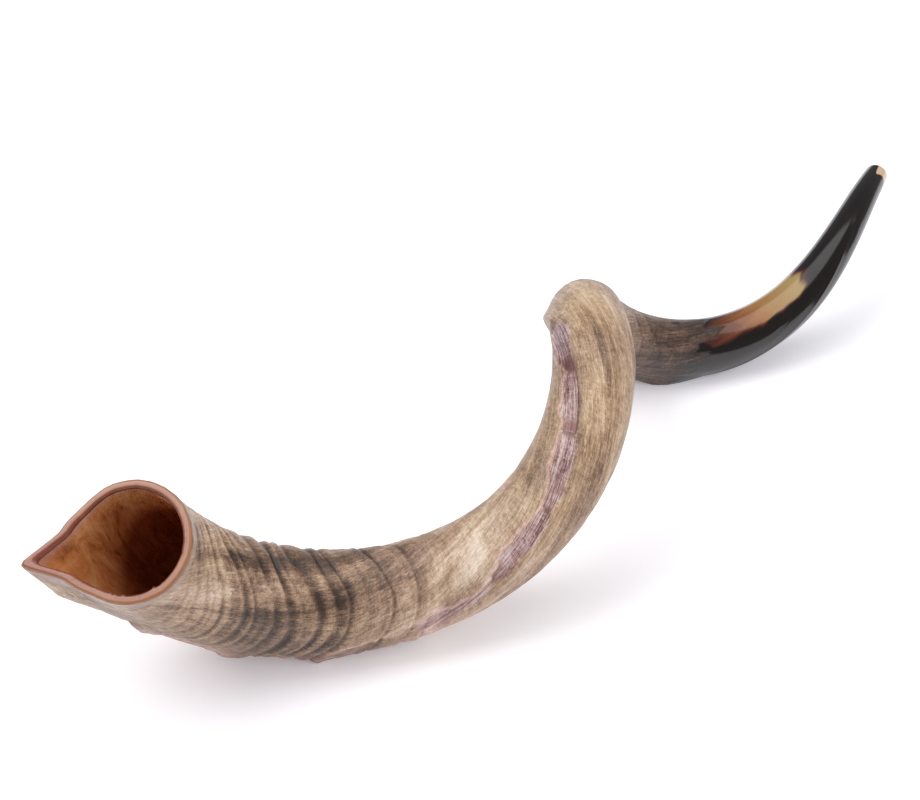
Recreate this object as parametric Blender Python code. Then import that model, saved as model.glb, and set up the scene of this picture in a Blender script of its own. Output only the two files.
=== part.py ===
"""Kudu-horn shofar, lying on a table as it comes to rest.

The bell opens towards -X, the mouthpiece ends at +X, and +Z is up, in metres. One twisted horn makes the
whole instrument, so its sub-parts are the lengths of it that grew or were worked differently. Every length
is a tube lofted across the same corkscrew, and neighbours stand a hair's breadth apart.
"""

import math

import bpy
import numpy as np
from mathutils import Euler

MM = 0.001

# The corkscrew, bell first: turn round its axis in degrees (0 lowest, 90 the near side), distance along the
# axis, distance of the centre line from the axis, and radius of the round part of the horn, in millimetres.
CORKSCREW = np.array([
    (-112, 0, 87, 40.0),
    (-75, 49, 76, 38.0),
    (-30, 115, 64, 35.5),
    (30, 204, 54, 31.5),
    (90, 281, 49, 29.5),
    (150, 349, 45, 29.0),
    (240, 430, 43, 26.5),
    (330, 515, 44, 23.0),
    (390, 588, 41, 20.0),
    (450, 668, 32, 15.5),
    (520, 780, 21, 9.4),
])

# The keel, a ridge down the bell side of every coil: turn, height above the round part in millimetres, and
# where it stands round the horn, in degrees from straight out of the coil.
KEEL = np.array([
    (-112, 32, -56),
    (-82, 11, -68),
    (-54, 9, -60),
    (-20, 6, -43),
    (8, 1.5, -50),
    (40, 2, -65),
    (90, 2, -70),
    (200, 3, -68),
    (300, 5, -50),
    (341, 5.5, -38),
    (358, 1, -38),
    (520, 0, -38),
])

# The hollow that the bone core left, and the straight hole drilled on through the solid tip: turn, radius.
HOLLOW = np.array([
    (-112, 34),
    (30, 25),
    (150, 21.8),
    (350, 16.5),
    (405, 3),
    (520, 3),
])
LINING = 1.5                     # thickness of the smooth inner layer, in millimetres

# How the corkscrew's axis lies on the table: rolled about itself, and dipped towards the tip.
ROLL = math.radians(-2.3)
DIP = math.radians(4.1)
LIE = np.array(Euler((ROLL, DIP, 0)).to_matrix())

# Turns at which one length meets the next.
RINGED_END = 5
KEELED_END = 75
RISE_END = 165
CREST_END = 260
ROUGH_END = 350
HOLLOW_END = 405
TIP_END = 511

RIM_DEPTH = 12.0                 # polished band behind the mouth of the bell
RIM_ROUND = 1.6                  # how far the rim's edges are rounded over
CUP_RADIUS = 6.8                 # mouthpiece cup at its rim
CUP_DEPTH = 9.0
CUP_EDGE = 0.8                   # rounding of the mouthpiece's outer edge

SIDES = 20                       # points round each section, the first on the keel
RING_SPACING = 18.0              # along the horn, in millimetres
GAP = 0.36                       # left between neighbours, in millimetres


def curve_through(knots, values):
    """The natural cubic curve through a row of points, as a function."""
    width = np.diff(knots)
    slope = np.diff(values) / width
    system = np.eye(len(knots))
    change = np.zeros(len(knots))
    for i in range(1, len(knots) - 1):
        system[i, i - 1 : i + 2] = width[i - 1], 2 * (width[i - 1] + width[i]), width[i]
        change[i] = 6 * (slope[i] - slope[i - 1])
    bend = np.linalg.solve(system, change)

    def value(at):
        i = int(np.clip(np.searchsorted(knots, at) - 1, 0, len(width) - 1))
        near = (knots[i + 1] - at) / width[i]
        far = 1 - near
        straight = near * values[i] + far * values[i + 1]
        return straight + ((near**3 - near) * bend[i] + (far**3 - far) * bend[i + 1]) * width[i] ** 2 / 6

    return value


along_axis = curve_through(CORKSCREW[:, 0], CORKSCREW[:, 1])
off_axis = curve_through(CORKSCREW[:, 0], CORKSCREW[:, 2])
round_radius = curve_through(CORKSCREW[:, 0], CORKSCREW[:, 3])


def keel_height(turn):
    return np.interp(turn, KEEL[:, 0], KEEL[:, 1])


def keel_heading(turn):
    return math.radians(np.interp(turn, KEEL[:, 0], KEEL[:, 2]))


def hollow_radius(turn):
    return np.interp(turn, HOLLOW[:, 0], HOLLOW[:, 1])


def unit(vector):
    return vector / np.linalg.norm(vector)


def centre(turn):
    """Point of the centre line at a turn, in millimetres."""
    angle = math.radians(turn)
    off = off_axis(turn)
    return LIE @ (along_axis(turn), -off * math.sin(angle), -off * math.cos(angle))


def directions(turn):
    """Unit vectors along the horn, out of its coil, and across both."""
    ahead = unit(centre(turn + 0.5) - centre(turn - 0.5))
    axis = LIE @ (1, 0, 0)
    point = centre(turn)
    out = point - axis * (point @ axis)
    out = unit(out - ahead * (out @ ahead))
    return ahead, out, np.cross(ahead, out)


def turn_after(turn, distance):
    """Turn reached by going a short distance along the horn, in millimetres."""
    speed = np.linalg.norm(centre(turn + 0.5) - centre(turn - 0.5))
    return turn + distance / speed


def section(turn, radius):
    """Ring of points across the horn: a circle drawn out to the keel by its two tangents."""
    reach = math.acos(round_radius(turn) / (round_radius(turn) + keel_height(turn)))
    ahead, out, across = directions(turn)
    ring = []
    for j in range(SIDES):
        angle = 2 * math.pi * j / SIDES
        from_keel = min(angle, 2 * math.pi - angle)
        distance = radius / math.cos(max(reach - from_keel, 0))
        heading = angle + keel_heading(turn)
        ring.append(centre(turn) + distance * (math.cos(heading) * out + math.sin(heading) * across))
    return ring


def outer_ring(turn, inset=0.0):
    return section(turn, round_radius(turn) - inset)


def hollow_ring(turn, outset=0.0):
    return section(turn, hollow_radius(turn) + outset)


def even_turns(first, last):
    """Evenly spaced turns from one turn to another, a ring spacing or so apart."""
    fine = np.arange(first, last + 1.0)
    run = sum(np.linalg.norm(centre(b) - centre(a)) for a, b in zip(fine, fine[1:]))
    return np.linspace(first, last, max(round(run / RING_SPACING), 1) + 1)


def clear_of_neighbours(turns):
    """The same turns, with both ends pulled in by half the gap."""
    return [turn_after(turns[0], GAP / 2), *turns[1:-1], turn_after(turns[-1], -GAP / 2)]


def make_material(name, colour, roughness):
    material = bpy.data.materials.new(name)
    material.use_nodes = True
    shader = material.node_tree.nodes["Principled BSDF"]
    shader.inputs["Base Color"].default_value = (*colour, 1)
    shader.inputs["Roughness"].default_value = roughness
    shader.inputs["Metallic"].default_value = 0
    return material


def make_tube(name, outer, inner, colour, roughness):
    """Closed wall between outer and inner rings, both listed from the bell end."""
    rows = outer + inner[::-1]
    points = [point * MM for row in rows for point in row]
    faces = []
    for i in range(len(rows)):
        this_row = i * SIDES
        next_row = (i + 1) % len(rows) * SIDES
        for j in range(SIDES):
            k = (j + 1) % SIDES
            a, b, c, d = this_row + j, this_row + k, next_row + k, next_row + j
            if i < len(outer):
                faces += [(a, b, c), (a, c, d)]
            else:
                faces += [(a, b, d), (b, c, d)]
    mesh = bpy.data.meshes.new(name)
    mesh.from_pydata(points, [], faces)
    mesh.shade_smooth()
    mesh.set_sharp_from_angle(angle=math.radians(40))
    mesh.materials.append(make_material(name, colour, roughness))
    piece = bpy.data.objects.new(name, mesh)
    SHOFAR.objects.link(piece)
    return piece


def make_length(name, first, last, colour, roughness, outset=0.0):
    """A plain length of the horn between two turns, hollow for its whole run."""
    turns = clear_of_neighbours(even_turns(first, last))
    outer = [outer_ring(turn) for turn in turns]
    inner = [hollow_ring(turn, outset) for turn in turns]
    return make_tube(name, outer, inner, colour, roughness)


def make_bell_rim():
    """Polished lip round the mouth, rounded on both edges, with the keel drawn out to a point."""
    back = turn_after(RIM_BACK, -GAP / 2)
    front = turn_after(MOUTH, RIM_ROUND)
    outer = [outer_ring(MOUTH, RIM_ROUND), outer_ring(front), outer_ring(back)]
    inner = [hollow_ring(MOUTH, RIM_ROUND), hollow_ring(front), hollow_ring(back)]
    return make_tube("bell_rim", outer, inner, (0.62, 0.33, 0.22), 0.25)


def make_lining():
    """Smooth inner layer of the hollow, from behind the rim to where the polish starts."""
    turns = []
    for first, last in zip(LINED_TURNS, LINED_TURNS[1:]):
        turns += list(even_turns(first, last))[:-1]
    turns = clear_of_neighbours([*turns, LINED_TURNS[-1]])
    outer = [hollow_ring(turn, LINING) for turn in turns]
    inner = [hollow_ring(turn) for turn in turns]
    return make_tube("bore_lining", outer, inner, (0.36, 0.15, 0.06), 0.35)


def make_mouthpiece():
    """End of the tip: a flat ring round a cup that runs down into the drilled hole."""
    start = turn_after(TIP_END, GAP / 2)
    bore = hollow_radius(END)
    edge = turn_after(END, -CUP_EDGE)
    outer = [outer_ring(start), outer_ring(edge), outer_ring(END, CUP_EDGE)]
    inner = [hollow_ring(start)]
    for share in (1.0, 0.75, 0.5, 0.25, 0.0):
        wide = bore + (CUP_RADIUS - bore) * math.sqrt(1 - share)
        inner.append(section(turn_after(END, -CUP_DEPTH * share), wide))
    return make_tube("mouthpiece", outer, inner, (0.55, 0.40, 0.25), 0.3)


def stand_on_table(pieces):
    """Parents every piece to one empty, moved so that the whole stands centred on the table."""
    points = np.array([vertex.co for piece in pieces for vertex in piece.data.vertices])
    low, high = points.min(axis=0), points.max(axis=0)
    seat = bpy.data.objects.new("seat", None)
    seat.location = (-(low[0] + high[0]) / 2, -(low[1] + high[1]) / 2, -low[2])
    SHOFAR.objects.link(seat)
    for piece in pieces:
        piece.parent = seat


for old in list(bpy.data.objects):
    bpy.data.objects.remove(old, do_unlink=True)
SHOFAR = bpy.data.collections.new("shofar")
bpy.context.scene.collection.children.link(SHOFAR)

MOUTH = CORKSCREW[0, 0]
END = CORKSCREW[-1, 0]
RIM_BACK = turn_after(MOUTH, RIM_DEPTH)
LINED_TURNS = (RIM_BACK, RINGED_END, KEELED_END, RISE_END, CREST_END, ROUGH_END)
LINED = LINING + GAP

stand_on_table([
    make_bell_rim(),
    make_length("ringed_bell", RIM_BACK, RINGED_END, (0.36, 0.28, 0.20), 0.55, LINED),
    make_length("lower_curve", RINGED_END, KEELED_END, (0.50, 0.38, 0.27), 0.45, LINED),
    make_length("rising_curve", KEELED_END, RISE_END, (0.47, 0.34, 0.22), 0.45, LINED),
    make_length("loop_crest", RISE_END, CREST_END, (0.48, 0.38, 0.28), 0.50, LINED),
    make_length("rough_neck", CREST_END, ROUGH_END, (0.24, 0.20, 0.16), 0.60, LINED),
    make_length("polished_throat", ROUGH_END, HOLLOW_END, (0.10, 0.05, 0.03), 0.15),
    make_length("solid_tip", HOLLOW_END, TIP_END, (0.02, 0.018, 0.016), 0.12),
    make_mouthpiece(),
    make_lining(),
])
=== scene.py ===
"""Looks of the kudu-horn shofar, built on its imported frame. Metres, +Z up, the bell towards -X."""

import math

import bpy
import numpy as np
from mathutils import Matrix, Vector


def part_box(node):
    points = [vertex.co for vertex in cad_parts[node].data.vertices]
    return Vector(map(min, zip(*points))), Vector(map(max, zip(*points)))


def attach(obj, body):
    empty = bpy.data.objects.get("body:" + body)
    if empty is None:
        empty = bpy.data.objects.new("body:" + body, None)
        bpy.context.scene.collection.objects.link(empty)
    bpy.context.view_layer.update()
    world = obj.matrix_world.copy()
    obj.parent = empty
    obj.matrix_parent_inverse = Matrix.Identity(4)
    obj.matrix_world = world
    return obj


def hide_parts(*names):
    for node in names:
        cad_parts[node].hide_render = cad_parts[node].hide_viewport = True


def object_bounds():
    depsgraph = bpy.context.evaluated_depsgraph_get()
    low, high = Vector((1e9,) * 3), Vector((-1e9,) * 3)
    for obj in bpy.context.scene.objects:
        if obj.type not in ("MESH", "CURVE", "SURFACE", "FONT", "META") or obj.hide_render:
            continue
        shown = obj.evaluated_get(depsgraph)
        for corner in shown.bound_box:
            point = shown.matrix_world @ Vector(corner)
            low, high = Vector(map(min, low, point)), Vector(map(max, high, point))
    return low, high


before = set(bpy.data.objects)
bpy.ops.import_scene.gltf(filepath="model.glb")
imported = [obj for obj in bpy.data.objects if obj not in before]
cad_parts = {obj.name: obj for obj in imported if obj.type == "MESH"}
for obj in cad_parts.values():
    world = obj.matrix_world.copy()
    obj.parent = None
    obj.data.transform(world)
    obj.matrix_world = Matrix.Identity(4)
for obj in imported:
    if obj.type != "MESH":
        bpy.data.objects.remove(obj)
cad_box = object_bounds()
bpy.ops.object.select_all(action="DESELECT")
MM = 0.001


# ---------------------------------------------------------------------------------------------------------
# Studio: a white sheet of paper lit from below as well, daylight from a large window at the upper left, a
# lamp overhead and a white card on the near side. The camera looks along the horn from its bell end.

camera = bpy.data.objects.new("camera", bpy.data.cameras.new("camera"))
camera.data.lens = 100.3
camera.data.sensor_width = 36
camera.data.clip_end = 50
heading, drop, tilt = math.radians(-57.2), math.radians(39.76), math.radians(7.74)
backwards = Vector((math.sin(heading) * math.cos(drop), -math.cos(heading) * math.cos(drop), math.sin(drop)))
camera.matrix_world = (
    Matrix.Translation((-1.214, -0.713, 1.216))
    @ backwards.to_track_quat("Z", "Y").to_matrix().to_4x4()
    @ Matrix.Rotation(tilt, 4, "Z")
)
bpy.context.scene.collection.objects.link(camera)
bpy.context.scene.camera = camera
bpy.context.scene.view_settings.view_transform = "Standard"

bpy.ops.mesh.primitive_plane_add(size=14, location=(0, 0, 0))
floor = bpy.context.object
floor.name = "paper_floor"
paper = bpy.data.materials.new("paper")
paper.use_nodes = True
paper.node_tree.nodes["Principled BSDF"].inputs["Base Color"].default_value = (0.93, 0.92, 0.94, 1)
paper.node_tree.nodes["Principled BSDF"].inputs["Roughness"].default_value = 0.9
paper.node_tree.nodes["Principled BSDF"].inputs["Emission Color"].default_value = (0.94, 0.92, 1.0, 1)
paper.node_tree.nodes["Principled BSDF"].inputs["Emission Strength"].default_value = 0.2
floor.data.materials.append(paper)

world = bpy.data.worlds.new("studio")
bpy.context.scene.world = world
world.use_nodes = True
world.node_tree.nodes["Background"].inputs["Color"].default_value = (0.97, 0.97, 1.0, 1)
world.node_tree.nodes["Background"].inputs["Strength"].default_value = 0.24

for name, place, size, power in (
    ("window", (-1.5, 1.5, 2.5), 1.9, 62),
    ("overhead", (0.5, 0.3, 3.2), 3.4, 50),
    ("near_card", (0.5, -2.1, 1.5), 2.2, 37),
):
    lamp = bpy.data.objects.new(name, bpy.data.lights.new(name, "AREA"))
    lamp.data.size = size
    lamp.data.energy = power
    lamp.location = place
    lamp.rotation_euler = Vector(place).to_track_quat("Z", "Y").to_euler()
    lamp.visible_glossy = name != "near_card"
    bpy.context.scene.collection.objects.link(lamp)


# ---------------------------------------------------------------------------------------------------------
# The horn's form. One sheath of keratin grows as a corkscrew of one and three-quarter turns round a bone
# core, with a keel down its bell side. All lengths of the finished horn are cut from this one surface.

# Turn round the corkscrew's axis in degrees, then distance along the axis, distance off it and radius, in mm.
TURN, ALONG, OFF, ROUND = np.array([
    (-112, 0, 87, 40.0),
    (-75, 49, 76, 38.0),
    (-30, 115, 64, 35.5),
    (30, 204, 54, 31.5),
    (90, 281, 49, 29.5),
    (150, 349, 45, 29.0),
    (240, 430, 43, 26.5),
    (330, 515, 44, 23.0),
    (390, 588, 41, 20.0),
    (450, 668, 32, 15.5),
    (520, 780, 21, 9.4),
]).T
# Turn, the keel's height over the round part in mm, and its heading round the horn in degrees.
KEEL = np.array([
    (-112, 32, -56),
    (-82, 11, -68),
    (-54, 9, -60),
    (-20, 6, -43),
    (8, 1.5, -50),
    (40, 2, -65),
    (90, 2, -70),
    (200, 3, -68),
    (300, 5, -50),
    (341, 5.5, -38),
    (358, 1, -38),
    (520, 0, -38),
]).T
HOLLOW = np.array([(-112, 34), (30, 25), (150, 21.8), (350, 16.5), (405, 3), (520, 3)]).T
LINING = 1.5
ROLL, DIP = math.radians(-2.3), math.radians(4.1)
LIE = np.array(Matrix.Rotation(DIP, 3, "Y") @ Matrix.Rotation(ROLL, 3, "X"))


def natural_curve(knots, values):
    """The natural cubic curve through a row of points, as a function of an array."""
    width = np.diff(knots)
    slope = np.diff(values) / width
    system, change = np.eye(len(knots)), np.zeros(len(knots))
    for i in range(1, len(knots) - 1):
        system[i, i - 1 : i + 2] = width[i - 1], 2 * (width[i - 1] + width[i]), width[i]
        change[i] = 6 * (slope[i] - slope[i - 1])
    bend = np.linalg.solve(system, change)

    def value(at):
        i = np.clip(np.searchsorted(knots, at) - 1, 0, len(width) - 1)
        near = (knots[i + 1] - at) / width[i]
        far = 1 - near
        curve = (near**3 - near) * bend[i] + (far**3 - far) * bend[i + 1]
        return near * values[i] + far * values[i + 1] + curve * width[i] ** 2 / 6

    return value


along_axis, off_axis, round_radius = (natural_curve(TURN, v) for v in (ALONG, OFF, ROUND))


def unit(vectors):
    return vectors / np.linalg.norm(vectors, axis=-1, keepdims=True)


def centre(turn):
    """Points of the centre line at an array of turns, in mm, before the horn is stood on its place."""
    angle, off = np.radians(turn), off_axis(turn)
    return np.stack([along_axis(turn), -off * np.sin(angle), -off * np.cos(angle)], axis=-1) @ LIE.T


def across_horn(turn, radius, angle):
    """Points round the horn at radius (rows of turns by columns of angles), drawn out to the keel, in mm."""
    ahead = unit(centre(turn + 0.5) - centre(turn - 0.5))
    point = centre(turn)
    axis = LIE[:, 0]
    out = point - np.outer(point @ axis, axis)
    out = unit(out - ahead * np.sum(out * ahead, axis=-1, keepdims=True))
    side = np.cross(ahead, out)
    heading = angle + np.radians(np.interp(turn, KEEL[0], KEEL[2]))[:, None]
    sweep = np.cos(heading)[..., None] * out[:, None] + np.sin(heading)[..., None] * side[:, None]
    return point[:, None] + radius[..., None] * sweep


def keel_stretch(turn, angle, lowered=0.0):
    """How much further than the round part the surface stands, as the two tangents from the keel run."""
    size = round_radius(turn)
    keel = np.maximum(np.interp(turn, KEEL[0], KEEL[1]) - lowered, 0)
    reach = np.arccos(size / (size + keel))[:, None]
    return 1 / np.cos(np.maximum(reach - np.abs(angle), 0))


GAP = 0.36
CUP_EDGE = 0.8


def turn_after(turn, distance):
    """Turn reached by going a short distance along the horn, in mm."""
    return turn + distance / np.linalg.norm(centre(turn + 0.5) - centre(turn - 0.5))


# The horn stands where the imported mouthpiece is: its outer rings are repeated here and matched to its box.
corner_turns = np.array([turn_after(511, GAP / 2), turn_after(520, -CUP_EDGE), 520])
corner_angles = (np.arange(20) * math.tau / 20)[None, :]
corner_radius = round_radius(corner_turns)[:, None] - np.array([[0], [0], [CUP_EDGE]]) + 0 * corner_angles
signed_angles = (corner_angles + math.pi) % math.tau - math.pi
corners = across_horn(corner_turns, corner_radius * keel_stretch(corner_turns, signed_angles), corner_angles)
SEAT = np.array(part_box("mouthpiece")[0]) / MM - corners.min(axis=(0, 1))

# The surface is laid out on a grid: rows every ROW_STEP mm along the horn, and columns round it that start
# opposite the keel.
fine_turns = np.linspace(-112, 520, 6321)
steps = np.linalg.norm(np.diff(centre(fine_turns), axis=0), axis=1)
fine_distance = np.concatenate([[0], np.cumsum(steps)])
LENGTH = fine_distance[-1]
ROW_STEP = 0.8
ROWS, COLUMNS = round(LENGTH / ROW_STEP) + 1, 224
row_distance = np.linspace(0, LENGTH, ROWS)
ALONG_HORN = row_distance[:, None]
ROUND_HORN = (np.arange(COLUMNS) * math.tau / COLUMNS - math.pi)[None, :]
FROM_KEEL = np.degrees(ROUND_HORN)


def turn_at(distance):
    return np.interp(distance, fine_distance, fine_turns)


def row_at(turn):
    """The grid row nearest to a turn."""
    return int(round(np.interp(turn, fine_turns, fine_distance) / LENGTH * (ROWS - 1)))


def grain(seed, along, around):
    """Smooth random field over the grid, of spread one, in patches so long in mm and so wide in degrees."""
    field = np.random.default_rng(seed).standard_normal((ROWS + 200, COLUMNS))
    over = np.fft.fftfreq(ROWS + 200, LENGTH / (ROWS - 1))[:, None]
    about = np.fft.fftfreq(COLUMNS, 360 / COLUMNS)[None, :]
    soften = np.exp(-2 * (math.pi * over * along / 2) ** 2 - 2 * (math.pi * about * around / 2) ** 2)
    field = np.fft.ifft2(np.fft.fft2(field) * soften).real[:ROWS]
    return field / field.std()


def rise(value, start, end):
    """0 before start, 1 after end, smooth between."""
    share = np.clip((value - start) / (end - start), 0, 1)
    return share * share * (3 - 2 * share)


def stretch_of(value, start, end, soft):
    """1 between start and end, falling to 0 over a soft edge outside."""
    return rise(value, start - soft, start) * (1 - rise(value, end, end + soft))


def spot(distance, angle, long, wide):
    """A soft round patch on the horn, in mm along and degrees round it."""
    apart = (FROM_KEEL - angle + 180) % 360 - 180
    return np.exp(-(((ALONG_HORN - distance) / long) ** 2) - (apart / wide) ** 2)


def line_along(places, angles, wide):
    """A line that runs along the horn through given places and angles."""
    path = np.interp(ALONG_HORN, places, angles)
    return np.exp(-(((FROM_KEEL - path) / wide) ** 2)) * stretch_of(ALONG_HORN, places[0], places[-1], 12)


# Growth rings bow away from the mouth on the horn's flanks, and towards it at the keel.
slant = np.interp(ALONG_HORN, [0, 75, 100, 140, 160], [23, 20, 12, 8, 0])
growth = ALONG_HORN + 15 * np.cos(ROUND_HORN) ** 2 - slant * np.cos(ROUND_HORN) + 1.3 * grain(1, 14, 34)
ring_swell = 0 * growth
ring_dark = 0 * growth
for place, depth, wide in (
    (38, 0.25, 2.2), (52, 0.3, 2.2), (63, 0.4, 2.4), (78, 0.6, 2.0), (88, 0.35, 2.0), (99, 0.6, 2.0),
    (107, 0.5, 1.8), (116, 0.35, 2.2), (125, 0.5, 2.2), (139, 0.95, 2.8), (149, 0.45, 2.2), (158, 0.8, 2.8),
    (173, 1.0, 2.6), (184, 0.6, 2.2), (194, 0.3, 2.4), (215, 0.75, 1.5), (236, 0.4, 2.2), (262, 0.2, 2.5),
    (318, 0.15, 3.0), (352, 0.15, 3.0), (600, 0.15, 2.5), (624, 0.2, 2.5), (645, 0.2, 2.5),
):
    away = (growth - place) / wide
    ring_swell += depth * (0.55 * np.exp(-((away + 2.0) ** 2) / 2.2) - np.exp(-(away**2)))
    ring_dark += depth * np.exp(-((away - 0.35) ** 2) / 1.2)
fine_lines = np.interp(growth, np.arange(-40, 1000, 2.6), np.random.default_rng(19).standard_normal(400))
fine_lines = fine_lines * np.interp(ALONG_HORN, [0, 30, 220, 330, 560, 690], [0.5, 1, 1, 0.35, 0.25, 0])
fade = 1 - 0.25 * rise(grain(2, 20, 40), -0.3, 1.2)
ring_swell = 1.45 * ring_swell * fade + 0.13 * fine_lines
ring_dark *= 1 - 0.6 * rise(grain(3, 12, 30), -0.4, 1.0)

# Teeth on the keel near the bell, one for each spell of growth, with hollows ground between them.
TEETH = np.array([-30, 24, 70, 123, 174, 228, 283, 336, 386, 432, 487, 540, 590, 632, 700])
tooth = np.clip(np.searchsorted(TEETH, row_distance, side="right") - 1, 0, len(TEETH) - 2)
through = np.clip((row_distance - TEETH[tooth]) / (TEETH[tooth + 1] - TEETH[tooth]), 0, 1)[:, None]
hollowed = 1 - (2 * through - 1) ** 2
scallop = np.interp(row_distance, [0, 24, 50, 95, 150, 228, 300], [0, 3.2, 5.2, 5.2, 4.6, 3.4, 0])
keel_edge = keel_stretch(turn_at(row_distance), ROUND_HORN, scallop * hollowed[:, 0])

# From the second coil on the keel is ground off in flats, one for each tooth, that step up at each notch.
left_edge = np.interp(
    ALONG_HORN,
    [160, 207, 230, 251, 275, 300, 340, 410, 480],
    [-26, -36, -34, -27, -16, -20, -17, -20, -28],
)
waver = 3.2 * grain(18, 9, 50)
left_edge = left_edge + (5 * (1 - hollowed) + 4 * (through - 0.5)) * rise(ALONG_HORN, 235, 270) + waver
right_edge = np.interp(ALONG_HORN, [220, 270, 300, 350, 400, 450, 485], [-8, 2, 9, 12, 8, 8, 12])
right_edge = right_edge + 2.2 * grain(4, 9, 50) - 6 * (1 - hollowed) ** 2
ground = rise(FROM_KEEL, left_edge - 1, left_edge + 3)
ground = ground * (1 - rise(FROM_KEEL, right_edge - 3, right_edge + 1.5))
ground = ground * stretch_of(ALONG_HORN, 232, 486, 5)
middle = (left_edge + right_edge) / 2
ground_depth = np.interp(ALONG_HORN, [225, 250, 480, 492], [0, 0.8, 0.9, 0]) * (1.2 - 0.5 * through)
size = round_radius(turn_at(row_distance))[:, None]
inset = 0.1 + 0.5 * size / 40
radius = (size - inset) * keel_edge
flat = (size - inset - ground_depth) / np.cos(np.radians(np.clip(FROM_KEEL - middle, -70, 70)))
cut = stretch_of(ALONG_HORN, 230, 489, 3)
radius = radius * (1 - cut) + np.minimum(radius, flat) * cut - 1.2 * ground * (1 - through)
radius = radius + 0.45 * cut * np.exp(-(((FROM_KEEL - left_edge + 2) / 3) ** 2))
radius = radius + 2.0 * spot(672, 0, 11, 22)

# The lip of the bell is drawn out to a rounded nose with hollow flanks.
nose = 1 - rise(ALONG_HORN, 10, 45)
radius = radius - 2.2 * nose * np.exp(-(((np.abs(FROM_KEEL) - 17) / 8) ** 2))
radius = radius + 2.6 * nose * np.exp(-((FROM_KEEL / 4.5) ** 2))
blur = np.fft.fftfreq(COLUMNS, 360 / COLUMNS)[None, :]
rounded = np.fft.ifft(np.fft.fft(radius, axis=1) * np.exp(-2 * (math.pi * blur * 1.5) ** 2), axis=1).real
radius = radius * (1 - nose) + rounded * nose

# Weathered sheath: long fibres, shallow dents and rough scales, all polished away towards the tip.
weathered = 1 - rise(ALONG_HORN, 672, 712) * rise(grain(5, 30, 30) + 3, 0, 2.2)
fibres = 0.5 * grain(6, 40, 3.4) + 0.5 * grain(7, 14, 2.4)
dents = grain(8, 22, 24)
radius = radius + weathered * (ring_swell + 0.09 * fibres + 0.16 * dents * (1 - ground))
# However deep it is cut, the sheath stays this much outside the wall of the hollow, in mm.
THINNEST = 1.2
hollow_wall = np.interp(turn_at(row_distance), HOLLOW[0], HOLLOW[1])[:, None] + LINING
radius = np.maximum(radius, hollow_wall * keel_stretch(turn_at(row_distance), ROUND_HORN) + THINNEST)
sheath = across_horn(turn_at(row_distance), radius, ROUND_HORN) + SEAT
sheath = np.clip(sheath, np.array(cad_box[0]) / MM, np.array(cad_box[1]) / MM)

# What the growth and the grinding leave in the colour, from 0 to 1 over the grid, and a painted highlight
# and painted shade on the ground flats.
tone = np.interp(
    ALONG_HORN,
    [0, 40, 75, 110, 150, 190, 225, 262, 300, 345, 400, 440, 480, 510, 545, 590, 640, 690, 954],
    [
        0.52, 0.54, 0.49, 0.42, 0.38, 0.43, 0.54, 0.60, 0.51, 0.46,
        0.45, 0.43, 0.46, 0.48, 0.46, 0.44, 0.28, 0.12, 0.2,
    ],
)
tone = tone + 0.05 * grain(9, 26, 26) + 0.03 * grain(10, 60, 9) + 0.045 * fine_lines
tone = tone + 0.13 * spot(60, -88, 20, 22) - 0.12 * spot(228, -118, 30, 24)
tone = tone + 0.30 * spot(276, -44, 17, 15) + 0.10 * spot(262, -70, 24, 20) + 0.12 * spot(246, -60, 26, 22)
tone = tone - 0.26 * line_along([70, 106, 134, 180, 214], [-145, -146, -150, -156, -160], 13)
tone = tone - 0.10 * line_along([20, 60, 100], [-152, -142, -146], 10) - 0.12 * spot(168, -118, 18, 14)
dark_thread = line_along(
    [0, 50, 95, 143, 185, 221, 245, 300, 350],
    [-90, -88, -90, -96, -104, -96, -80, -73, -75],
    2.2,
)
tone = tone - 0.13 * dark_thread
upper_side = stretch_of(FROM_KEEL, -140, -60, 30) * stretch_of(ALONG_HORN, 300, 470, 30)
tone = tone + 0.10 * line_along([8, 90, 140], [-112, -112, -116], 18) + 0.08 * upper_side
tone = tone + 0.09 * stretch_of(FROM_KEEL, 16, 90, 14) * stretch_of(ALONG_HORN, 300, 480, 40)
tone = tone - 0.10 * spot(95, -70, 30, 30) + 0.08 * spot(66, -92, 16, 16) - 0.06 * spot(30, -60, 22, 26)
beside_flats = stretch_of(FROM_KEEL, 16, 60, 14) * stretch_of(ALONG_HORN, 330, 480, 20)
tone = tone - 0.07 * beside_flats * rise(grain(11, 50, 5), -0.2, 1.0)
dark_lines = np.clip(ring_dark, 0, 1) * (0.55 + 0.45 * rise(-FROM_KEEL, 20, 60))
warmth = np.interp(
    ALONG_HORN,
    [0, 60, 150, 230, 330, 420, 480, 520, 580, 690],
    [0.50, 0.45, 0.45, 0.45, 0.6, 0.8, 0.65, 0.30, 0.15, 0.1],
)
warmth = warmth + 0.15 * grain(12, 30, 30)
pink_keel = np.exp(-((FROM_KEEL / 15) ** 2)) * stretch_of(ALONG_HORN, 90, 235, 40) * 0.75
# Painted highlight: a pale pink line along the left edge of the ground flats.
painted_highlight_border = np.exp(-(((FROM_KEEL - left_edge + 2.2) / 2.6) ** 2)) * stretch_of(ALONG_HORN, 176, 470, 20)
# Painted shade: a dark line on the ground flats along each notch, where they step.
notch_edge = np.min(np.abs(row_distance[:, None] - TEETH[None, :] + 1.0), axis=1)[:, None]
painted_notch_shade = ground * np.exp(-((notch_edge / 1.7) ** 2))
redness = 0.7 * ground * np.exp(-(((through - 0.10) / 0.16) ** 2)) * rise(grain(22, 6, 10), -1.2, 0.8)
polished = rise(ALONG_HORN + 9 * grain(13, 16, 9) - 20 * np.cos(ROUND_HORN + 2.2), 664, 696)
streak_low = np.interp(ALONG_HORN, [688, 702, 726, 745, 769, 785, 799], [-112, -91, -84, -76, -62, -54, -56])
streak_high = np.interp(ALONG_HORN, [690, 720, 760, 790], [-128, -146, -160, -168])
streak = rise(FROM_KEEL - 3 * grain(14, 18, 12), streak_high - 10, streak_high + 12)
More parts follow.
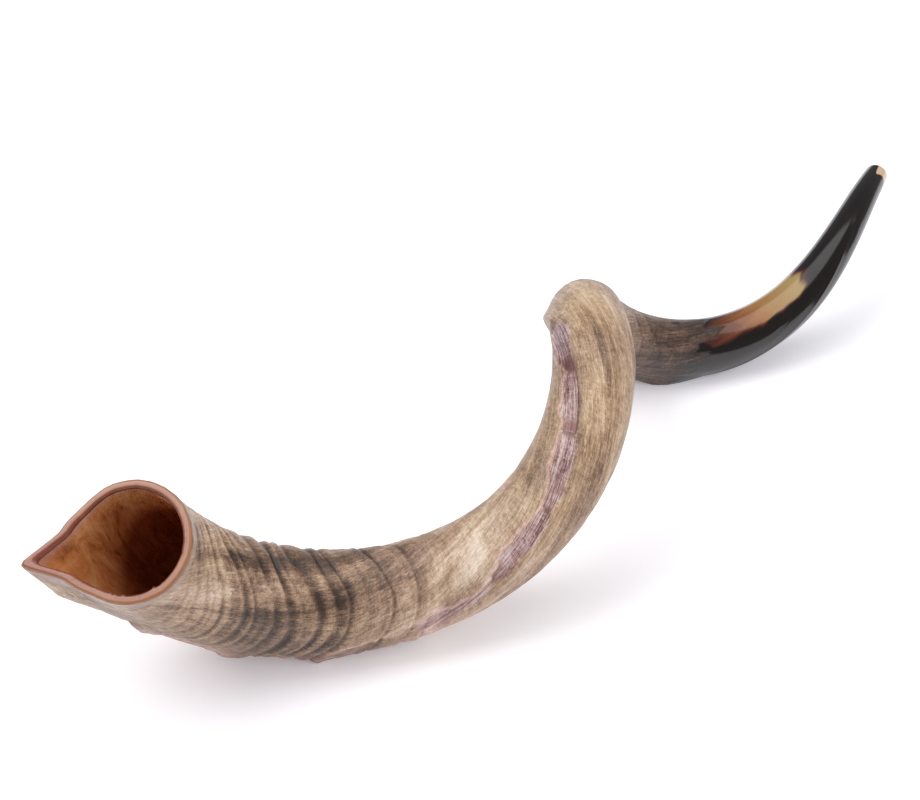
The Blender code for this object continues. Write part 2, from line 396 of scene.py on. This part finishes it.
streak = streak * (1 - rise(FROM_KEEL + 2.5 * grain(15, 9, 8), streak_low - 9, streak_low + 9))
streak = streak * rise(ALONG_HORN + 4 * grain(16, 9, 12), 684, 702)
streak = streak * (1 - rise(ALONG_HORN + 3 * grain(17, 9, 10), 790, 812))
end_patch = rise(ALONG_HORN + 3 * np.cos(3 * ROUND_HORN), 934, 944) * stretch_of(FROM_KEEL, 30, 150, 18)
MARKS = {
    "tone": tone, "dark_lines": dark_lines, "warmth": np.clip(warmth, 0, 1), "ground": ground,
    "pink": np.clip(pink_keel + painted_highlight_border, 0, 1), "notch": painted_notch_shade, "red": redness,
    "polished": np.clip(polished, 0, 1), "streak": streak, "cream": end_patch,
}


def inside_wall(first, last, every, outset):
    """Rows of the hollow's wall between two grid rows."""
    picked = np.unique(np.append(np.arange(first, last, every), last))
    turns = turn_at(row_distance[picked])
    wide = np.interp(turns, HOLLOW[0], HOLLOW[1])[:, None] + outset
    return picked, across_horn(turns, wide * keel_stretch(turns, ROUND_HORN), ROUND_HORN) + SEAT


def tube_piece(name, outer, inner, materials, marks, second_from=None):
    """Closed wall between outer and inner rows, both from the bell end, with marks on its points.

    The second material, where there is one, starts at row second_from."""
    points = np.concatenate([outer, inner[::-1]]) * MM
    rows = len(points)
    here = np.arange(rows)[:, None] * COLUMNS
    there = (np.arange(rows)[:, None] + 1) % rows * COLUMNS
    column = np.arange(COLUMNS)[None, :]
    beside = (column + 1) % COLUMNS
    faces = np.stack([here + column, here + beside, there + beside, there + column], axis=-1).reshape(-1, 4)
    mesh = bpy.data.meshes.new(name)
    mesh.vertices.add(rows * COLUMNS)
    mesh.vertices.foreach_set("co", points.astype(np.float32).ravel())
    mesh.loops.add(faces.size)
    mesh.loops.foreach_set("vertex_index", faces.astype(np.int32).ravel())
    mesh.polygons.add(len(faces))
    mesh.polygons.foreach_set("loop_start", np.arange(0, faces.size, 4, dtype=np.int32))
    for material in materials:
        mesh.materials.append(material)
    if second_from is not None:
        index = np.repeat((np.arange(rows) >= second_from).astype(np.int32), COLUMNS)
        mesh.polygons.foreach_set("material_index", index)
    for mark, values in marks.items():
        whole = np.zeros((rows, COLUMNS), np.float32)
        whole[: len(values)] = values
        mesh.attributes.new(mark, "FLOAT", "POINT").data.foreach_set("value", whole.ravel())
    mesh.update(calc_edges=True)
    mesh.validate()
    mesh.shade_smooth()
    mesh.set_sharp_from_angle(angle=math.radians(50))
    piece = bpy.data.objects.new(name, mesh)
    bpy.context.scene.collection.objects.link(piece)
    return piece


def grown_marks(distance, angle):
    """Where each point lies on the horn laid out straight, in metres: along it, and on a circle round it."""
    flat_angle = np.broadcast_to(angle, (len(distance), COLUMNS))
    return {
        "along": np.broadcast_to(distance[:, None] * MM, flat_angle.shape),
        "round_y": np.cos(flat_angle),
        "round_z": np.sin(flat_angle),
    }


# ---------------------------------------------------------------------------------------------------------
# Node helpers and shared effects for the horn's finishes, then the sheath's own material: fibrous keratin in
# tan, grey and brown, mauve where the keel is ground, and black with an amber streak where it is polished.


def node(tree, kind, inputs=None, **settings):
    """A new node with its settings, and its inputs given as values or as sockets to link from."""
    made = tree.nodes.new(kind)
    for name, value in settings.items():
        setattr(made, name, value)
    for name, value in (inputs or {}).items():
        if isinstance(value, bpy.types.NodeSocket):
            tree.links.new(value, made.inputs[name])
        else:
            made.inputs[name].default_value = value
    return made


def sums(tree, operation, first, second, clamp=False):
    inputs = {0: first, 1: second}
    return node(tree, "ShaderNodeMath", inputs, operation=operation, use_clamp=clamp).outputs[0]


def swing(tree, value, amount):
    """A value between 0 and 1 turned into one that swings either side of nothing by half the amount."""
    return sums(tree, "MULTIPLY", sums(tree, "SUBTRACT", value, 0.5), amount)


def mix(tree, share, first, second):
    inputs = {0: share, 6: first, 7: second}
    return node(tree, "ShaderNodeMix", inputs, data_type="RGBA").outputs[2]


def between(tree, value, low, high):
    """0 below low, 1 above high, smooth between."""
    inputs = {"Value": value, "From Min": low, "From Max": high}
    return node(tree, "ShaderNodeMapRange", inputs, interpolation_type="SMOOTHSTEP").outputs[0]


def ramp(tree, value, stops):
    made = node(tree, "ShaderNodeValToRGB", {"Fac": value})
    elements = made.color_ramp.elements
    while len(elements) < len(stops):
        elements.new(0.5)
    for element, (place, colour) in zip(elements, stops):
        element.position = place
        element.color = (*colour, 1)
    return made.outputs["Color"]


def mark(tree, name):
    return node(tree, "ShaderNodeAttribute", attribute_name=name).outputs["Fac"]


def new_group(name, outputs):
    """An empty node group with the outputs named, and its output node."""
    tree = bpy.data.node_groups.new(name, "ShaderNodeTree")
    for socket in outputs:
        tree.interface.new_socket(name=socket, in_out="OUTPUT", socket_type="NodeSocketFloat")
    return tree, tree.nodes.new("NodeGroupOutput")


# Fibres and mottling that run along the horn, on the place where each point grew.
fibre_tree, fibre_out = new_group("horn_fibres", ("Streaks", "Hairs", "Mottle", "Growth", "Scrapes"))


def grown_noise(along, around, detail, roughness=0.55, distortion=0.0):
    """Noise stretched along the horn: so many patches in a metre along it and in a radian round it."""
    scaled = [
        sums(fibre_tree, "MULTIPLY", mark(fibre_tree, name), factor)
        for name, factor in (("along", along), ("round_y", around), ("round_z", around))
    ]
    place = node(fibre_tree, "ShaderNodeCombineXYZ", {0: scaled[0], 1: scaled[1], 2: scaled[2]}).outputs[0]
    inputs = {"Vector": place, "Scale": 1.0, "Detail": detail}
    inputs |= {"Roughness": roughness, "Distortion": distortion}
    return node(fibre_tree, "ShaderNodeTexNoise", inputs).outputs["Fac"]


links = fibre_tree.links
links.new(grown_noise(60, 17, 4, 0.65, 0.5), fibre_out.inputs["Streaks"])
links.new(grown_noise(260, 46, 4, 0.75, 0.8), fibre_out.inputs["Hairs"])
links.new(grown_noise(42, 2.8, 5, 0.65, 0.8), fibre_out.inputs["Mottle"])
links.new(grown_noise(620, 5.0, 4, 0.7, 1.2), fibre_out.inputs["Growth"])
links.new(grown_noise(14, 40, 3, 0.6, 0.3), fibre_out.inputs["Scrapes"])

sheath_finish = bpy.data.materials.new("horn_sheath")
sheath_finish.use_nodes = True
tree = sheath_finish.node_tree
shader = tree.nodes["Principled BSDF"]
fibres_here = node(tree, "ShaderNodeGroup", node_tree=fibre_tree)
streaks, hairs, mottle, growth_lines, scrapes = fibres_here.outputs

# Lightness: the tone of the place, with fibres, fine growth lines and dark rings drawn into it.
light = sums(tree, "MULTIPLY_ADD", streaks, 0.62)
light.node.inputs[2].default_value = -0.37
light = sums(tree, "ADD", light, mark(tree, "tone"))
hair_part = swing(tree, hairs, 1.05)
light = sums(tree, "ADD", light, hair_part)
growth_part = swing(tree, growth_lines, 0.55)
light = sums(tree, "ADD", light, growth_part)
mottle_part = swing(tree, mottle, 0.50)
light = sums(tree, "ADD", light, mottle_part)
ring_part = sums(tree, "MULTIPLY", mark(tree, "dark_lines"), 0.36)
light = sums(tree, "SUBTRACT", light, ring_part, True)
golden = ramp(tree, light, [
    (0.0, (0.045, 0.022, 0.012)), (0.25, (0.17, 0.095, 0.050)), (0.48, (0.39, 0.25, 0.145)),
    (0.68, (0.60, 0.44, 0.28)), (0.95, (0.80, 0.68, 0.52)),
])
ashen = ramp(tree, light, [
    (0.0, (0.026, 0.014, 0.009)), (0.25, (0.130, 0.075, 0.052)), (0.48, (0.33, 0.205, 0.138)),
    (0.68, (0.54, 0.39, 0.295)), (0.95, (0.78, 0.67, 0.57)),
])
colour = mix(tree, mark(tree, "warmth"), ashen, golden)
scrape_part = swing(tree, scrapes, 1.3)
mauve = ramp(tree, sums(tree, "ADD", light, scrape_part), [
    (0.20, (0.060, 0.018, 0.018)), (0.38, (0.25, 0.115, 0.110)),
    (0.56, (0.50, 0.36, 0.34)), (0.88, (0.74, 0.62, 0.59)),
])
colour = mix(tree, mark(tree, "ground"), colour, mauve)
colour = mix(tree, mark(tree, "red"), colour, (0.19, 0.052, 0.035, 1))
# Pink along the keel near the bell, and the painted highlight along the left edge of the flats.
pink = ramp(tree, light, [(0.2, (0.36, 0.17, 0.13)), (0.6, (0.72, 0.49, 0.42)), (0.95, (0.86, 0.72, 0.66))])
colour = mix(tree, sums(tree, "MULTIPLY", mark(tree, "pink"), 0.8), colour, pink)
# Painted shade along the notches of the ground flats.
colour = mix(tree, sums(tree, "MULTIPLY", mark(tree, "notch"), 0.75), colour, (0.11, 0.045, 0.03, 1))

# The polished end: black keratin with brown depths, an amber streak, and pale horn at the cut.
black = ramp(tree, mottle, [
    (0.3, (0.003, 0.002, 0.002)), (0.62, (0.008, 0.004, 0.003)), (0.85, (0.030, 0.010, 0.005)),
])
streak_place = sums(tree, "ADD", mark(tree, "along"), swing(tree, mottle, 0.045))
amber = ramp(tree, between(tree, streak_place, 0.684, 0.806), [
    (0.0, (0.030, 0.007, 0.004)), (0.22, (0.13, 0.036, 0.015)), (0.48, (0.28, 0.110, 0.036)),
    (0.74, (0.33, 0.18, 0.060)), (1.0, (0.36, 0.25, 0.10)),
])
streak_share = between(tree, sums(tree, "ADD", mark(tree, "streak"), swing(tree, streaks, 0.35)), 0.30, 1.0)
halo = between(tree, mark(tree, "streak"), 0.02, 0.45)
dark_horn = mix(tree, streak_share, mix(tree, halo, black, (0.060, 0.013, 0.007, 1)), amber)
cream_share = between(tree, sums(tree, "ADD", mark(tree, "cream"), swing(tree, hairs, 0.8)), 0.35, 0.6)
dark_horn = mix(tree, cream_share, dark_horn, (0.62, 0.43, 0.28, 1))
polish_share = between(tree, sums(tree, "ADD", mark(tree, "polished"), swing(tree, hairs, 0.9)), 0.3, 0.75)
colour = mix(tree, polish_share, colour, dark_horn)
tree.links.new(colour, shader.inputs["Base Color"])

# Satin with a thin lacquer on the weathered part, smoother on the ground flats, and a high polish at the tip.
rough = sums(tree, "MULTIPLY_ADD", hairs, 0.30)
rough.node.inputs[2].default_value = 0.34
rough = sums(tree, "SUBTRACT", rough, sums(tree, "MULTIPLY", mark(tree, "ground"), 0.10))
rough = node(tree, "ShaderNodeMix", {0: polish_share, 2: rough, 3: 0.15}).outputs[0]
tree.links.new(rough, shader.inputs["Roughness"])
shader.inputs["Coat Weight"].default_value = 0.15
shader.inputs["Coat Roughness"].default_value = 0.18
shader.inputs["IOR"].default_value = 1.54
relief = sums(tree, "ADD", sums(tree, "MULTIPLY", hairs, 0.9), sums(tree, "MULTIPLY", streaks, 0.5))
relief = sums(tree, "ADD", relief, sums(tree, "MULTIPLY", growth_lines, 0.35))
relief = sums(tree, "MULTIPLY", relief, sums(tree, "SUBTRACT", 1.0, polish_share))
bump = node(tree, "ShaderNodeBump", {"Height": relief, "Strength": 0.55, "Distance": 0.0006})
tree.links.new(bump.outputs[0], shader.inputs["Normal"])


LINING_END = 350
WALL_ROWS = 12


def horn_length(name, first, last):
    """One length of the horn between two grid rows, as a closed tube with the sheath's finish outside."""
    rows = np.arange(first, last + 1)
    outset = LINING if first < row_at(LINING_END) else 0.0
    picked, wall = inside_wall(first, last, WALL_ROWS, outset)
    marks = {key: value[rows] + np.zeros((len(rows), COLUMNS)) for key, value in MARKS.items()}
    everywhere = np.concatenate([row_distance[rows], row_distance[picked][::-1]])
    marks |= grown_marks(everywhere, ROUND_HORN)
    piece = tube_piece(f"horn_{name}", sheath[rows], wall, [sheath_finish], marks)
    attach(piece, "root")
    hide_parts(name)


# ---------------------------------------------------------------------------------------------------------
# The lengths of the horn, from the bell to the tip: ringed sheath behind the bell, fibrous sheath round the
# two curves and the crest, grey sheath at the neck, then the polished throat and the solid tip.

RIM_DEPTH = 12
RIM_ROW = round(RIM_DEPTH / ROW_STEP)
first_row = RIM_ROW
for name, slot, end_turn in (
    ("ringed_bell", "ringed_sheath", 5),
    ("lower_curve", "fibrous_sheath", 75),
    ("rising_curve", "fibrous_sheath", 165),
    ("loop_crest", "fibrous_sheath", 260),
    ("rough_neck", "grey_sheath", LINING_END),
    ("polished_throat", "polished_dark_horn", 405),
    ("solid_tip", "polished_dark_horn", 511),
):
    horn_length(name, first_row, row_at(end_turn))
    first_row = row_at(end_turn)


# ---------------------------------------------------------------------------------------------------------
# Inner layer: the smooth wall that lay against the bone core, orange-brown and glossy near the mouth, where
# it was scraped and sanded, and dark red-brown further in, where shade deeper in the bore is painted on.

inner_finish = bpy.data.materials.new("inner_layer")
inner_finish.use_nodes = True
tree = inner_finish.node_tree
shader = tree.nodes["Principled BSDF"]
fibres_here = node(tree, "ShaderNodeGroup", node_tree=fibre_tree)
streaks, hairs, mottle = (fibres_here.outputs[n] for n in ("Streaks", "Hairs", "Mottle"))
patchy = sums(tree, "ADD", mottle, swing(tree, streaks, 0.3))
sanded = ramp(tree, patchy, [
    (0.30, (0.23, 0.085, 0.026)), (0.42, (0.54, 0.20, 0.065)),
    (0.56, (0.70, 0.33, 0.13)), (0.72, (0.76, 0.50, 0.26)),
])
# Painted shade: dark red-brown further into the bore, starting deeper on some sides than others.
painted_bore_shade = ramp(tree, patchy, [(0.3, (0.12, 0.018, 0.005)), (0.7, (0.34, 0.095, 0.030))])
depth = sums(tree, "ADD", mark(tree, "deep"), swing(tree, mottle, 0.9))
colour = mix(tree, between(tree, depth, 0.25, 0.80), sanded, painted_bore_shade)
edge_pink = ramp(tree, mottle, [(0.3, (0.52, 0.24, 0.17)), (0.7, (0.70, 0.42, 0.29))])
colour = mix(tree, mark(tree, "edge"), colour, edge_pink)
tree.links.new(colour, shader.inputs["Base Color"])
rough = sums(tree, "MULTIPLY_ADD", hairs, 0.25)
rough.node.inputs[2].default_value = 0.14
tree.links.new(rough, shader.inputs["Roughness"])
shader.inputs["Coat Weight"].default_value = 0.35
shader.inputs["Coat Roughness"].default_value = 0.1
relief = sums(tree, "ADD", mottle, hairs)
bump = node(tree, "ShaderNodeBump", {"Height": relief, "Strength": 0.35, "Distance": 0.0005})
tree.links.new(bump.outputs[0], shader.inputs["Normal"])


def depth_marks(distance, edge):
    """How far in the painted shade of the bore starts, and how much of the rim's pink each row has."""
    whole = np.broadcast_to(distance[:, None], (len(distance), COLUMNS))
    start = 40 + 12 * np.cos(ROUND_HORN + 0.5)
    return {
        "deep": rise(whole, start - 20, start + 26),
        "edge": np.broadcast_to(np.reshape(edge, (-1, 1)), whole.shape),
    }


SEEN_TURN = -40
near = np.arange(RIM_ROW, row_at(SEEN_TURN))
far = np.append(np.arange(row_at(SEEN_TURN), row_at(LINING_END), 8), row_at(LINING_END))
lined = np.concatenate([near, far])
lined_turns = turn_at(row_distance[lined])
hollow_wide = np.interp(lined_turns, HOLLOW[0], HOLLOW[1])[:, None]
uneven = np.clip(0.35 * grain(20, 30, 30) + 0.12 * grain(21, 9, 14), -0.8, 0.8)[lined]
lined_radius = (hollow_wide + uneven) * keel_stretch(lined_turns, ROUND_HORN)
inner_face = across_horn(lined_turns, lined_radius, ROUND_HORN) + SEAT
picked, outer_face = inside_wall(RIM_ROW, row_at(LINING_END), WALL_ROWS, LINING - 0.05)
both = np.concatenate([row_distance[picked], row_distance[lined][::-1]])
marks = grown_marks(both, ROUND_HORN) | depth_marks(both, 0.0)
lining = tube_piece("horn_inner_layer", outer_face, inner_face, [inner_finish], marks)
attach(lining, "root")
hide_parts("bore_lining")


# ---------------------------------------------------------------------------------------------------------
# Rim of the bell: the cut mouth, sanded round and buffed to a pinkish tan that shows the layers of the wall,
# with a few small chips left along its inner edge.

rim_finish = bpy.data.materials.new("polished_rim")
rim_finish.use_nodes = True
tree = rim_finish.node_tree
shader = tree.nodes["Principled BSDF"]
fibres_here = node(tree, "ShaderNodeGroup", node_tree=fibre_tree)
streaks, hairs, mottle = (fibres_here.outputs[n] for n in ("Streaks", "Hairs", "Mottle"))
layers = sums(tree, "ADD", mark(tree, "layer"), swing(tree, mottle, 0.7))
cut = ramp(tree, layers, [
    (0.0, (0.14, 0.035, 0.015)), (0.3, (0.25, 0.080, 0.036)), (0.55, (0.34, 0.130, 0.060)),
    (0.8, (0.33, 0.140, 0.068)), (1.0, (0.28, 0.14, 0.085)),
])
rosy = mix(tree, mark(tree, "rosy"), cut, (0.24, 0.065, 0.045, 1))
bark_light = sums(tree, "MULTIPLY", hairs, 0.5)
bark_light = sums(tree, "ADD", bark_light, sums(tree, "MULTIPLY", streaks, 0.45), True)
bark = ramp(tree, bark_light, [
    (0.25, (0.13, 0.09, 0.07)), (0.5, (0.36, 0.265, 0.20)), (0.75, (0.62, 0.50, 0.40)),
])
colour = mix(tree, mark(tree, "bark"), rosy, bark)
colour = mix(tree, mark(tree, "pit"), colour, (0.02, 0.012, 0.01, 1))
tree.links.new(colour, shader.inputs["Base Color"])
rough = sums(tree, "MULTIPLY_ADD", mark(tree, "bark"), 0.30)
rough.node.inputs[2].default_value = 0.27
tree.links.new(rough, shader.inputs["Roughness"])
shader.inputs["Coat Weight"].default_value = 0.15
shader.inputs["Coat Roughness"].default_value = 0.08
relief = sums(tree, "ADD", mottle, hairs)
bump = node(tree, "ShaderNodeBump", {"Height": relief, "Strength": 0.15, "Distance": 0.0004})
tree.links.new(bump.outputs[0], shader.inputs["Normal"])

WALL = 6.0
EDGE = 1.9
turned = np.linspace(0, math.pi / 2, 9)
outer_corner = [(EDGE - EDGE * math.sin(t), EDGE - EDGE * math.cos(t)) for t in turned]
crown = [(0.0, EDGE + (WALL - 2 * EDGE) * share) for share in (0.33, 0.67)]
inner_corner = [(along, WALL - into) for along, into in reversed(outer_corner)]
profile = outer_corner + crown + inner_corner
chips = rise(grain(30, 40, 2.6)[0], 0.7, 2.0) * stretch_of(FROM_KEEL[0], -175, -60, 15)
back_rows = np.arange(RIM_ROW, round(EDGE / ROW_STEP), -1)
front = []
for along, into in profile:
    turn = np.array([turn_after(-112, along)])
    bulk = round_radius(turn)[0] - inset[0, 0]
    own = radius[min(round(along / ROW_STEP), RIM_ROW)] / bulk
    depth_in = into + (0.9 * chips * rise(into, WALL - EDGE, WALL) if into > WALL / 2 else 0)
    ring = ((bulk - depth_in) * own)[None, :]
    front.append(across_horn(turn, ring, ROUND_HORN)[0] + SEAT)
front = np.array(front)
outer_rows = np.concatenate([sheath[back_rows], front])
inside_rows = np.arange(round(EDGE / ROW_STEP) + 1, RIM_ROW + 1)
inside_turns = turn_at(row_distance[inside_rows])
blend_in = np.linspace(0, 1, len(inside_rows))[:, None]
hollow_size = np.interp(inside_turns, HOLLOW[0], HOLLOW[1])[:, None]
mouth_shape = radius[3] / (round_radius(np.array([-112.0]))[0] - inset[0, 0])
inside_shape = keel_stretch(inside_turns, ROUND_HORN) * blend_in + (1 - blend_in) * mouth_shape
inner_rows = across_horn(inside_turns, hollow_size * inside_shape, ROUND_HORN) + SEAT
distances = np.concatenate([row_distance[back_rows], [a for a, _ in profile], row_distance[inside_rows]])
through_wall = [1 - into / WALL for _, into in profile]
layer = np.concatenate([np.ones(len(back_rows)), through_wall, np.zeros(len(inside_rows))])
bark_mark = rise(distances, 2.2, 5.5) * (np.arange(len(distances)) < len(back_rows))
wide_pit = np.exp(-(((FROM_KEEL + 168) / 4.0) ** 2))
small_pit = np.exp(-(((FROM_KEEL - 176) / 1.2) ** 2))
marks = grown_marks(distances, ROUND_HORN) | {
    "layer": layer[:, None] + 0 * ROUND_HORN,
    "bark": bark_mark[:, None] * rise(grain(31, 5, 10)[0][None, :] + 3 * bark_mark[:, None], 0.6, 1.6),
    "rosy": np.exp(-((FROM_KEEL / 26) ** 2)) * 0.65 * (np.abs(layer - 0.35) < 0.5)[:, None],
    "pit": np.exp(-((distances[:, None] - 2.6) / 1.1) ** 2) * (wide_pit + 0.8 * small_pit),
}
edge = np.concatenate([np.zeros(len(back_rows) + len(profile)), 1 - rise(row_distance[inside_rows], 3, 9)])
marks |= depth_marks(distances, edge)
# The rows run from behind the rim over its crown and in, so they are turned round to face outwards.
marks = {name: values[::-1] for name, values in marks.items()}
finishes = [inner_finish, rim_finish]
rim = tube_piece("horn_rim", inner_rows[::-1], outer_rows, finishes, marks, len(inner_rows))
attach(rim, "root")
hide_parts("bell_rim")


# ---------------------------------------------------------------------------------------------------------
# Mouthpiece: the tip sawn off square, its edge rounded, and a cup reamed down into the drilled hole.

CUP_RADIUS, CUP_DEPTH, BORE = 6.8, 9.0, 3.0
ROUNDING = 1.3
start = first_row
body_rows = np.arange(start, round((LENGTH - ROUNDING) / LENGTH * (ROWS - 1)))
end_rings = []
end_places = []
size = round_radius(np.array([520.0]))[0] - inset[-1, 0]
for t in np.linspace(0, math.pi / 2, 9):
    end_rings.append(size - ROUNDING * (1 - math.cos(t)))
    end_places.append(-ROUNDING * (1 - math.sin(t)))
for t in np.linspace(0, math.pi / 2, 6):
    end_rings.append(CUP_RADIUS + 0.5 * (1 - math.sin(t)))
    end_places.append(-0.5 * (1 - math.cos(t)))
for share in np.linspace(0.03, 1, 14):
    end_rings.append(BORE + (CUP_RADIUS - BORE) * math.sqrt(1 - share))
    end_places.append(-CUP_DEPTH * share - 0.5 * (1 - share))
end_turns = np.array([turn_after(520, place) for place in end_places])
end_face = across_horn(end_turns, np.array(end_rings)[:, None] + 0 * ROUND_HORN, ROUND_HORN) + SEAT
bore_turns = turn_at(row_distance[[start, start + 4]])
bore_rows = across_horn(bore_turns, BORE + np.zeros((2, COLUMNS)), ROUND_HORN) + SEAT
end_distances = LENGTH + np.array(end_places)
distances = np.concatenate([row_distance[body_rows], end_distances, row_distance[[start + 4, start]]])
count = len(body_rows) + len(end_places)
marked_rows = np.append(body_rows, [ROWS - 1] * len(end_places))
marks = {key: value[marked_rows] + np.zeros((count, COLUMNS)) for key, value in MARKS.items()}
marks |= grown_marks(distances, ROUND_HORN)
mouthpiece = tube_piece(
    "horn_mouthpiece", np.concatenate([sheath[body_rows], end_face]), bore_rows, [sheath_finish], marks
)
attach(mouthpiece, "root")
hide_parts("mouthpiece")
